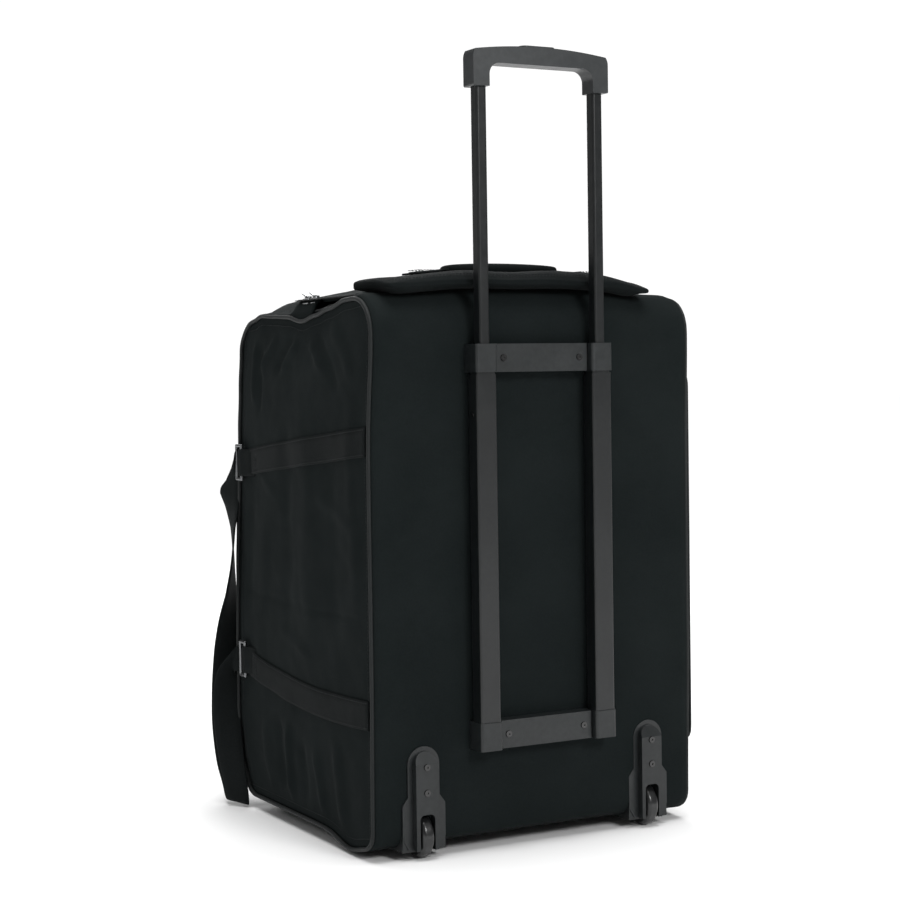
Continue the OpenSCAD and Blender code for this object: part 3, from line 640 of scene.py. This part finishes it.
def sewn_shell():
    top_edges()
    wrap("back_cloth", BACK_PROFILE, -HALF_W, HALF_W, crumple=0.5, replaces=("back_panel",))
    wrap("bottom_cloth", BOTTOM_PROFILE, -HALF_W, HALF_W, swell=1.5, replaces=("bottom_panel",))
    wrap("front_cloth_right", FRONT_PROFILE, -HALF_W, -4, swell=7, crumple=2.4,
         replaces=("front_panel_right",))
    wrap("front_cloth_left", FRONT_PROFILE, 4, HALF_W, swell=7, crumple=2.4,
         replaces=("front_panel_left",))
    wrap("top_cloth", TOP_PROFILE, -HALF_W, HALF_W, crumple=1.4, step=7, replaces=("top_panel",))
    end_panel("end_cloth_left", 1, 5.0, "end_panel_left")
    end_panel("end_cloth_right", -1, 8.0, "end_panel_right")


def piping():
    """A corded seam round each end, with the sewn groove's welt beside it."""
    parts = []
    for side in (-1, 1):
        for offset, radius in ((2.2, 2.7), (-3.6, 1.3)):
            path = [slump((side * (HALF_W + offset), y, z)) for y, z in RIM]
            parts.append(tube_mesh(resample(path + path[:1], 6)[:-1], radius, 8, closed=True))
    piece("end_piping_cord", *join(*parts), PIPING, "piping", replaces=("end_piping",))


SEAM_INSET = 12


def seam_lines():
    """Thread beside the seams of the ends and the back."""
    ends = []
    for side in (-1, 1):
        inner = [on_end(side, clamp(y, -HALF_D + SEAM_INSET, HALF_D - SEAM_INSET),
                        clamp(z, LOW + SEAM_INSET, TOP - SEAM_INSET), 0.3) for y, z in RIM]
        ends.append((inner + inner[:1], (side, 0, 0)))
    stitches("end_seam_thread", ends)
    backs = []
    for side in (-1, 1):
        x = side * (HALF_W - SEAM_INSET - 1)
        backs.append(([slump((x, HALF_D + 0.2, z)) + Vector((0, 0.5, 0))
                       for z in range(40, int(BACK_TOP[1]), 10)], (0, 1, 0)))
    stitches("back_seam_thread", backs)


# ------------------------------------------------------------------ bands, rings' loops and straps
# Two ends of each band, as (depth, height)
UPPER_BAND = ((RING_Y, UPPER_RING_Z), (192, 502))
LOWER_BAND = ((RING_Y, LOWER_RING_Z), (192, 176))
LOWER_DIP = 11
BAND_ENDS = {1: 192, -1: -151}


def band_height(band, y):
    (ay, az), (by, bz) = band
    t = (y - ay) / (by - ay)
    dip = LOWER_DIP * math.sin(math.pi * clamp(t)) if band is LOWER_BAND else 0
    return az + (bz - az) * t - dip


def band_strip(side, band, start, end):
    rows = []
    for k in range(round((end - start) / 8) + 1):
        y = min(end, start + 8 * k)
        z = band_height(band, y)
        low = on_end(side, y, z - WEBBING_W / 2 + 1, 1.3)
        high = on_end(side, y, z + WEBBING_W / 2 - 1, 1.3)
        rows.append(((low + high) / 2, (high - low) / 2))
    return ribbon_mesh(rows, WEBBING_T)


def ring_loop(side, ring_z):
    """The short loop of webbing that holds a ring's rear bar."""
    r = 3.6
    path = [(227, RING_BAR_Y + 34), (229, RING_BAR_Y + 14), (RING_BAR_X + 2, RING_BAR_Y + 5)]
    path += [(RING_BAR_X + r * math.cos(math.radians(a)), RING_BAR_Y + r * math.sin(math.radians(a)))
             for a in (30, -15, -60, -105, -150)]
    path += [(227.4, RING_BAR_Y + 4), (226.6, RING_BAR_Y + 14)]
    half = Vector((0, 0, WEBBING_W / 2 - 1))
    rows = [(Vector((side * x, y, ring_z)), half) for x, y in path]
    return ribbon_mesh(rows, 1.8)


def band_threads(side, band):
    """Thread along both edges of a band, and twice across it by the ring on the left end."""
    across = WEBBING_W / 2 - 4
    runs = [[(y, edge) for y in range(-166, BAND_ENDS[side], 6)] for edge in (-across, across)]
    if side > 0:
        runs += [[(y, t) for t in range(-15, 16, 10)] for y in (-142, -132)]
    return [([on_end(side, y, band_height(band, y) + t, 2.7) for y, t in run], (side, 0, 0))
            for run in runs]


def side_bands():
    for side, name in ((1, "left"), (-1, "right")):
        parts, lines = [], []
        for band in (UPPER_BAND, LOWER_BAND):
            parts.append(band_strip(side, band, -170, BAND_ENDS[side]))
            parts.append(ring_loop(side, band[0][1]))
            lines += band_threads(side, band)
        piece("side_band_webbing_" + name, *join(*parts), WEBBING, "webbing",
              replaces=("side_bands_" + name,))
        stitches("side_band_thread_" + name, lines)


# A carry strap's route from the upper ring to the floor and up to the lower ring:
# (out, depth, height, the width's bearing in degrees, the width's tilt in degrees)
STRAP_ROUTE = (
    (229.5, -187, 466, 90, 88), (233.0, -193, 465, 90, 80), (235.5, -199, 459, 90, 58),
    (236.0, -205, 450, 92, 38), (235.0, -210, 438, 108, 20), (233.5, -213, 425, 112, 6),
    (232.0, -210, 404, 94, 0), (232.0, -208, 376, 75, 0), (232.0, -209, 346, 67, 0),
    (232.0, -213, 316, 58, 0), (231.5, -221, 284, 45, 0), (231.0, -231, 246, 16, 0),
    (230.5, -241, 200, -12, 0), (230.0, -251, 150, -26, 0), (231.0, -251, 100, -34, 0),
    (234.0, -233, 52, -44, 0), (236.5, -210, 24, -52, 2), (238.0, -200, 9, -56, 5),
    (240.0, -191, 4.6, -58, 7), (242.5, -184, 9, -58, 6), (244.0, -184, 24, -56, 4),
    (244.0, -199, 60, -48, 2), (242.5, -215, 110, -34, 0), (240.0, -219, 150, -22, 6),
    (238.0, -216, 172, -10, 24), (236.5, -210, 187, 40, 50), (235.0, -200, 198, 84, 74),
    (231.5, -193, 200, 90, 86),
)


def carry_strap(side, name):
    middles = curve_through([p[:3] for p in STRAP_ROUTE], 6)
    knots = [0.0]
    for a, b in zip(STRAP_ROUTE, STRAP_ROUTE[1:]):
        knots.append(knots[-1] + math.dist(a[:3], b[:3]))
    rows = []
    for i, m in enumerate(middles):
        s = knots[-1] * i / (len(middles) - 1)
        k = max(0, min(len(knots) - 2, sum(1 for q in knots if q <= s) - 1))
        t = (s - knots[k]) / (knots[k + 1] - knots[k])
        here, after = STRAP_ROUTE[k], STRAP_ROUTE[k + 1]
        bearing, tilt = (math.radians(here[c] + (after[c] - here[c]) * t) for c in (3, 4))
        half = Vector((math.cos(bearing) * math.cos(tilt), math.sin(bearing) * math.cos(tilt),
                       math.sin(tilt))) * (WEBBING_W / 2)
        rows.append((Vector((side * m.x, m.y, m.z)), Vector((side * half.x, half.y, half.z))))
    piece("carry_strap_webbing_" + name, *ribbon_mesh(rows, WEBBING_T), WEBBING, "webbing",
          body="carry_" + name, replaces=("carry_strap_" + name,))


# ------------------------------------------------------------------ pocket on the right end

POCKET_ROWS = 50
POCKET_COLUMNS = 36
POCKET_CORNER = 16
GUSSET_ROWS = 4
GUSSET_PINCH = 2.5


def pocket_front(lo, hi):
    """The pocket's outer panel, bellied out below its zip."""
    r = POCKET_CORNER
    corners = [((cy, cz), r, (sy, sz)) for cy, sy in ((hi.y - r, 1), (lo.y + r, -1))
               for cz, sz in ((hi.z - r, 1), (lo.z + r, -1))]
    verts = []
    for i in range(POCKET_ROWS):
        for j in range(POCKET_COLUMNS):
            y, z = rounded(lo.y + (hi.y - lo.y) * j / (POCKET_COLUMNS - 1),
                           lo.z + (hi.z - lo.z) * i / (POCKET_ROWS - 1), corners)
            edge = min(y - lo.y, hi.y - y, z - lo.z, hi.z - z)
            belly = 5.5 * smooth(0, 26, edge) * smooth(542, 495, z)
            wander = smooth(0, 20, edge) * smooth(548, 520, z)
            x = lo.x - belly - wander * (rough((y, z, 5), 60, 2.4) + rough((y, z, 2), 26, 0.9))
            verts.append(Vector((x, y, z)))
    return verts


def grid_rim(rows, columns):
    """The places round the edge of a grid, in order."""
    rim = [i * columns for i in range(rows)]
    rim += [(rows - 1) * columns + j for j in range(1, columns)]
    rim += [i * columns + columns - 1 for i in range(rows - 2, -1, -1)]
    return rim + list(range(columns - 2, 0, -1))


def pocket():
    lo, hi = box_mm("end_pocket")
    outer = pocket_front(lo, hi)
    rim = grid_rim(POCKET_ROWS, POCKET_COLUMNS)
    back = -HALF_W - 0.5
    gusset = []
    for k in range(1, GUSSET_ROWS + 1):
        t = k / GUSSET_ROWS
        for index in rim:
            p = outer[index]
            on_side = abs(p.y - (lo.y + hi.y) / 2) > 150
            pinch = GUSSET_PINCH * math.sin(math.pi * t) if on_side else 0
            gusset.append(Vector((p.x + (back - p.x) * t, p.y - math.copysign(pinch, p.y), p.z)))
    faces = grid_faces(POCKET_ROWS, POCKET_COLUMNS, flip=True)
    rings = [rim] + [range(len(outer) + k * len(rim), len(outer) + (k + 1) * len(rim))
                     for k in range(GUSSET_ROWS)]
    for upper, lower in zip(rings, rings[1:]):
        for m in range(len(rim)):
            after = (m + 1) % len(rim)
            faces.append((upper[m], upper[after], lower[after], lower[m]))
    piece("pocket_cloth", outer + gusset, faces, FABRIC, "bag_fabric", thick=1.6,
          replaces=("end_pocket",))
    edge = [outer[index] + Vector((-0.6, 0, 0)) for index in rim]
    piece("pocket_piping", *tube_mesh(resample(edge + edge[:1], 6)[:-1], 1.9, 8, closed=True),
          PIPING, "piping")
    inset = [Vector((p.x - 0.5, clamp(p.y, lo.y + 8, hi.y - 8), clamp(p.z, lo.z + 8, hi.z - 8)))
             for p in edge]
    stitches("pocket_thread", [(inset + inset[:1], (-1, 0, 0))])


# ------------------------------------------------------------------ zips

TOOTH_PITCH = 2.7
TOOTH_LENGTH = 3.6
TOOTH_RADIUS = 0.85
BOTH_ON_BAG = ((1, "bag", "a"), (-1, "bag", "b"))


def zip_run(name, path, out, halves, replaces, tape):
    """Two tapes and their teeth along a path that faces out. halves gives each side's body."""
    spots = resample(path, TOOTH_PITCH)
    out = Vector(out)
    last = len(spots) - 1
    for side, body, label in halves:
        rows, teeth = [], []
        for i, p in enumerate(spots):
            ahead = (spots[min(last, i + 1)] - spots[max(0, i - 1)]).normalized()
            sideways = out.cross(ahead).normalized() * side
            if i % 3 == 0 or i == last:
                rows.append((p + sideways * (tape / 2 + 1.0), sideways * tape / 2))
            step = TOOTH_PITCH / 2 if side > 0 else 0
            if i < last:
                middle = p + ahead * step + sideways * 1.2 + out * 0.9
                teeth.append(grain(middle, sideways, out, TOOTH_LENGTH, TOOTH_RADIUS))
        piece(name + "_tape_" + label, *ribbon_mesh(rows, 1.0), TAPE, "zip_tape", body=body,
              replaces=replaces.get(label, ()))
        piece(name + "_teeth_" + label, *join(*teeth), TEETH, "zip_tape", body=body)


def zips():
    lo, hi = box_mm("front_zip")
    front = [slump((0, -HALF_D, z)) + Vector((0, -0.5, 0)) for z in range(int(lo.z), int(hi.z) + 1, 10)]
    zip_run("front_zip", front, (0, -1, 0), BOTH_ON_BAG, {"a": ("front_zip",)}, tape=9.0)
    lo, hi = box_mm("pocket_zip")
    z = (lo.z + hi.z) / 2
    pocket_line = [Vector((lo.x - 0.6, y, z)) for y in range(int(lo.y), int(hi.y) + 1, 10)]
    zip_run("pocket_zip", pocket_line, (-1, 0, 0), BOTH_ON_BAG, {"a": ("pocket_zip",)}, tape=5.0)
    lid_zip()


def lid_zip_path():
    """Round the lid: back along one side, across the back and forward along the other."""
    r = 30
    z = box_mm("lid_zip_fixed_half")[1].z
    corner_x, corner_y = ZIP_X - r, LID_BACK - r
    bends = [(r * math.cos(math.radians(a)), r * math.sin(math.radians(a))) for a in range(0, 91, 15)]
    pts = [(ZIP_X, y) for y in range(int(ZIP_START), int(corner_y), 8)]
    pts += [(corner_x + u, corner_y + v) for u, v in bends]
    pts += [(x, LID_BACK) for x in range(int(corner_x) - 10, -int(corner_x), -10)]
    pts += [(-corner_x - u, corner_y + v) for u, v in bends[::-1]]
    pts += [(-ZIP_X, y) for y in range(int(corner_y), int(ZIP_START), -8)]
    return [Vector((x, y, z + 0.4 + crown(x, y))) for x, y in pts]


def lid_zip():
    zip_run("lid_zip", lid_zip_path(), (0, 0, 1),
            ((1, ACROSS_FOLD, "moving"), (-1, "bag", "fixed")),
            {"moving": ("lid_zip_moving_half",), "fixed": ("lid_zip_fixed_half",)}, tape=6.5)


# ------------------------------------------------------------------ lid, flap and grab handle

LID_CORNER = 24


def lid():
    half = ZIP_X - 5
    bend_y = LID_BACK - 30
    rows = []
    for y, _ in line((FOLD_Y, TOP), (LID_BACK - 5, TOP), 7):
        past = y - bend_y
        inset = LID_CORNER - math.sqrt(max(0, LID_CORNER ** 2 - past ** 2)) if past >= 0 else 0
        rows.append((y, half - inset))
    columns = 56
    verts = []
    for y, reach in rows:
        for j in range(columns):
            x = -reach + 2 * reach * j / (columns - 1)
            verts.append(Vector((x, y, TOP + crown(x, y) + rough((x, y, 0), 50, 1.4) - 0.3)))
    piece("lid_cloth", verts, grid_faces(len(rows), columns), FABRIC, "bag_fabric",
          body=ACROSS_FOLD, thick=PANEL_T, replaces=("lid_panel",))


def padded_copy(name, node_name, shape, body, voxel, pressure, cap):
    """A stuffed piece: a copy of a CAD soft solid, remeshed, blown up as cloth and settled."""
    obj = bpy.data.objects.new(name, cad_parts[node_name].data.copy())
    bpy.context.scene.collection.objects.link(obj)
    for v in obj.data.vertices:
        v.co = to_mm(v.co) * MM
    remesh = obj.modifiers.new("remesh", "REMESH")
    remesh.mode = "VOXEL"
    remesh.voxel_size = voxel * MM
    bake(obj)
    for v in obj.data.vertices:
        v.co = Vector(shape(Vector(v.co) / MM)) * MM
    blow_up(obj, pressure, cap)
    settle = obj.modifiers.new("settle", "SMOOTH")
    settle.factor = 0.5
    settle.iterations = 2
    sub = obj.modifiers.new("round", "SUBSURF")
    sub.levels = sub.render_levels = 1
    bake(obj)
    for v in obj.data.vertices:
        v.co = to_row(Vector(v.co) / MM)
    return finished(obj, FLAP_CLOTH, body, (node_name,))


CLOTH_FRAMES = 20


def blow_up(obj, pressure, cap):
    """Swells a closed mesh as cloth, each point moving at most cap mm."""
    rest = [v.co.copy() for v in obj.data.vertices]
    cloth = obj.modifiers.new("cloth", "CLOTH")
    cloth.settings.use_pressure = True
    cloth.settings.uniform_pressure_force = pressure
    cloth.settings.effector_weights.gravity = 0
    cloth.settings.quality = 5
    scene = bpy.context.scene
    for f in range(1, CLOTH_FRAMES + 1):
        scene.frame_set(f)
    bake(obj)
    scene.frame_set(1)
    for v, was in zip(obj.data.vertices, rest):
        move = v.co - was
        if move.length > cap * MM:
            v.co = was + move.normalized() * cap * MM


FLAP_LO, FLAP_HI = box_mm("lid_flap")
# How much thinner the flap is before it is blown up
FLAP_SWELL = 7


def flap_shape(p):
    """The flap's padding: thick in the middle, thin at the sides, with a rolled back edge."""
    x, y, z = p
    up = (z - FLAP_LO.z) / (FLAP_HI.z - FLAP_LO.z)
    edge = min(x - FLAP_LO.x, FLAP_HI.x - x, (y - FLAP_LO.y) * 0.7)
    thin = 0.8 + 0.2 * smooth(0, 26, edge)
    rear = 1 - 0.4 * smooth(FLAP_HI.y - 40, FLAP_HI.y, y)
    thick = (FLAP_HI.z - FLAP_LO.z - FLAP_SWELL) * thin * rear
    base = FLAP_LO.z + FLAP_SWELL / 2 + crown(x, y) - 4 * smooth(-110, -172, x)
    base -= 3 * smooth(FLAP_HI.y - 30, FLAP_HI.y, y) * smooth(60, -120, x)
    sag = rough((x, y, 0), 70, 3.0, 11) * smooth(0, 30, edge)
    return (x, y + 3 * smooth(160, 205, y), base + thick * up + sag * (0.4 + 0.6 * up))


SEAM_MARGINS = (9, 14)


def flap():
    """Builds the flap. Gives back a way to find its top surface."""
    obj = padded_copy("flap_padding", "lid_flap", flap_shape, "lid", 5, 3, 3.5)

    def on_flap(x, y):
        hit, place, _, _ = obj.ray_cast(to_row((x, y, FLAP_HI.z + 50)), Vector((0, 0, -1)))
        return to_mm(place) + Vector((0, 0, 0.2)) if hit else None

    lines = []
    for margin in SEAM_MARGINS:
        x0, x1 = FLAP_LO.x + margin, FLAP_HI.x - margin
        y0, y1 = FLAP_LO.y + margin, FLAP_HI.y - margin
        loop = [(x0, y) for y in range(int(y0), int(y1), 6)]
        loop += [(x, y1) for x in range(int(x0), int(x1), 6)]
        loop += [(x1, y) for y in range(int(y1), int(y0), -6)]
        points = [q for q in (on_flap(x, y) for x, y in loop) if q is not None]
        lines.append((points, (0, 0, 1)))
    stitches("flap_thread", lines, body="lid")
    return on_flap


# The sleeve sags to one side on its webbing and stands up a little.
SLEEVE_SHIFT = -9
SLEEVE_STRETCH = 1.24
SLEEVE_LIFT = 5


ANCHOR_HALF = 17


def grab_anchors(on_flap, lo, hi):
    """Two squares of webbing sewn down to the flap, each with a crossed box of thread."""
    middle_y = (lo.y + hi.y) / 2
    parts, lines = [], []
    for side in (-1, 1):
        middle_x = side * (hi.x - ANCHOR_HALF)
        rows = []
        for k in range(9):
            x = middle_x - ANCHOR_HALF + 2 * ANCHOR_HALF * k / 8
            spot = on_flap(x, middle_y) or Vector((x, middle_y, hi.z))
            rows.append((Vector((x, middle_y, spot.z + 1.2)), Vector((0, WEBBING_W / 2, 0))))
        parts.append(ribbon_mesh(rows, WEBBING_T))
        high = max(r[0].z for r in rows) + 1.6
        a, b = middle_x - 12, middle_x + 12
        c, d = middle_y - 14, middle_y + 14
        box_and_cross = (((a, c), (b, c), (b, d), (a, d), (a, c), (b, d)), ((b, c), (a, d)))
        lines += [([Vector((x, y, high)) for x, y in run], (0, 0, 1)) for run in box_and_cross]
    piece("grab_anchor_webbing", *join(*parts), WEBBING, "webbing", body="lid",
          replaces=("grab_handle_anchors",))
    stitches("grab_anchor_thread", lines, body="lid")
    return middle_y


def grab_webbing(hinge_y, sleeve_lo, sleeve_hi):
    """The handle's webbing, from its anchors up into the padded sleeve."""
    ends = box_mm("grab_handle_webbing")[1]
    lie_y = (sleeve_lo.y + sleeve_hi.y) / 2
    lie_z = (sleeve_lo.z + sleeve_hi.z) / 2
    route = [(ends.x, hinge_y, ends.z + 1.5), (ends.x - 16, hinge_y, ends.z + 2.6),
             (ends.x - 34, hinge_y - 9, ends.z + 4), (sleeve_hi.x + 12, lie_y + 3, lie_z + 4),
             (sleeve_hi.x - 30, lie_y, lie_z + SLEEVE_LIFT)]
    route += [(-x, y, z) for x, y, z in route[::-1]]
    rows = []
    for m in curve_through(route, 6):
        wide = WEBBING_W / 2 - 5 * smooth(ends.x, sleeve_hi.x, abs(m.x)) - 1
        rows.append((m, Vector((0, wide * 0.8, 0))))
    piece("grab_webbing", *ribbon_mesh(rows, WEBBING_T), WEBBING, "webbing", body="grab_handle",
          replaces=("grab_handle_webbing",))


def grab_handle(on_flap):
    hinge_y = grab_anchors(on_flap, *box_mm("grab_handle_anchors"))
    lo, hi = box_mm("grab_handle_sleeve")
    grab_webbing(hinge_y, lo, hi)
    lie_y, lie_z = (lo.y + hi.y) / 2, (lo.z + hi.z) / 2

    def sleeve_shape(p):
        x, y, z = p
        taper = 1 - 0.08 * smooth(45, 65, abs(x))
        return (SLEEVE_SHIFT + x * SLEEVE_STRETCH, lie_y + (y - lie_y) * taper,
                lie_z + (z - lie_z) * 1.1 * taper + SLEEVE_LIFT - 1.5 * (x / 65) ** 2)

    sleeve = padded_copy("grab_sleeve_padding", "grab_handle_sleeve", sleeve_shape, "grab_handle",
                         3.5, 3, 1.5)


# ------------------------------------------------------------------ floor, lights, camera

ROOM_LIGHT = 0.2
SEEN_WHITE = 1.05
OVERHEAD = 3.0
FLOOR_SIZE = 60
AIM_AT = Vector((0, 0, 0.45))
# name, place in metres, size in metres, power
LAMPS = (("key", (-0.4, 3.3, 2.1), 1.2, 66), ("side", (3.2, 0.3, 2.2), 0.9, 9),
         ("front", (-1.2, -3.0, 1.8), 2.0, 45))


def floor():
    bpy.ops.mesh.primitive_plane_add(size=FLOOR_SIZE, location=(0, 0, -0.0005))
    obj = bpy.context.object
    obj.name = "floor"
    material, _, bsdf = new_material("floor")
    bsdf.inputs["Base Color"].default_value = (0.93, 0.93, 0.93, 1)
    bsdf.inputs["Roughness"].default_value = 0.9
    obj.data.materials.append(material)


def studio():
    """A dim white room that the camera sees as pure white, three lamps and a soft sun."""
    floor()
    world = bpy.data.worlds.new("studio")
    bpy.context.scene.world = world
    world.use_nodes = True
    tree = world.node_tree
    back = tree.nodes["Background"]
    back.inputs["Color"].default_value = (1, 1, 1, 1)
    seen = tree.nodes.new("ShaderNodeLightPath").outputs["Is Camera Ray"]
    tree.links.new(spread(tree, seen, ROOM_LIGHT, SEEN_WHITE), back.inputs["Strength"])
    bpy.context.scene.view_settings.view_transform = "Standard"
    for spec in LAMPS:
        lamp(*spec)
    sun = bpy.data.lights.new("overhead", "SUN")
    sun.energy = OVERHEAD
    sun.angle = math.radians(50)
    bpy.context.scene.collection.objects.link(bpy.data.objects.new("overhead", sun))


def lamp(name, place, size, power):
    data = bpy.data.lights.new(name, "AREA")
    data.shape = "DISK"
    data.size = size
    data.energy = power
    obj = bpy.data.objects.new(name, data)
    bpy.context.scene.collection.objects.link(obj)
    obj.location = place
    obj.rotation_euler = (AIM_AT - Vector(place)).to_track_quat("-Z", "Y").to_euler()


CAMERA_AT = (1232.6, 2226.1, 579.2)
CAMERA_BEARING = 151.86
CAMERA_DOWN = 2.35
CAMERA_ROLL = -0.90
CAMERA_LENS = 77.07
CAMERA_SHIFT = (0.0258, 0.0050)


def camera():
    """Stands where the photo was taken from: mm, degrees and a lens in mm."""
    a, e, r = (math.radians(t) for t in (CAMERA_BEARING, CAMERA_DOWN, CAMERA_ROLL))
    ahead = Vector((-math.sin(a) * math.cos(e), math.cos(a) * math.cos(e), -math.sin(e)))
    flat_right = ahead.cross(Vector((0, 0, 1))).normalized()
    flat_up = flat_right.cross(ahead)
    right = flat_right * math.cos(r) + flat_up * math.sin(r)
    up = flat_up * math.cos(r) - flat_right * math.sin(r)
    turn = Matrix((right, up, -ahead)).transposed().to_4x4()
    data = bpy.data.cameras.new("camera")
    data.sensor_width = 36
    data.lens = CAMERA_LENS
    data.shift_x, data.shift_y = CAMERA_SHIFT
    obj = bpy.data.objects.new("camera", data)
    obj.matrix_world = Matrix.Translation(to_row(CAMERA_AT)) @ turn
    bpy.context.scene.collection.objects.link(obj)
    bpy.context.scene.camera = obj


# ------------------------------------------------------------------ the whole bag
camera()
studio()
finish_cad_nodes()
sewn_shell()
piping()
seam_lines()
side_bands()
for side, name in ((1, "left"), (-1, "right")):
    carry_strap(side, name)
pocket()
zips()
lid()
grab_handle(flap())
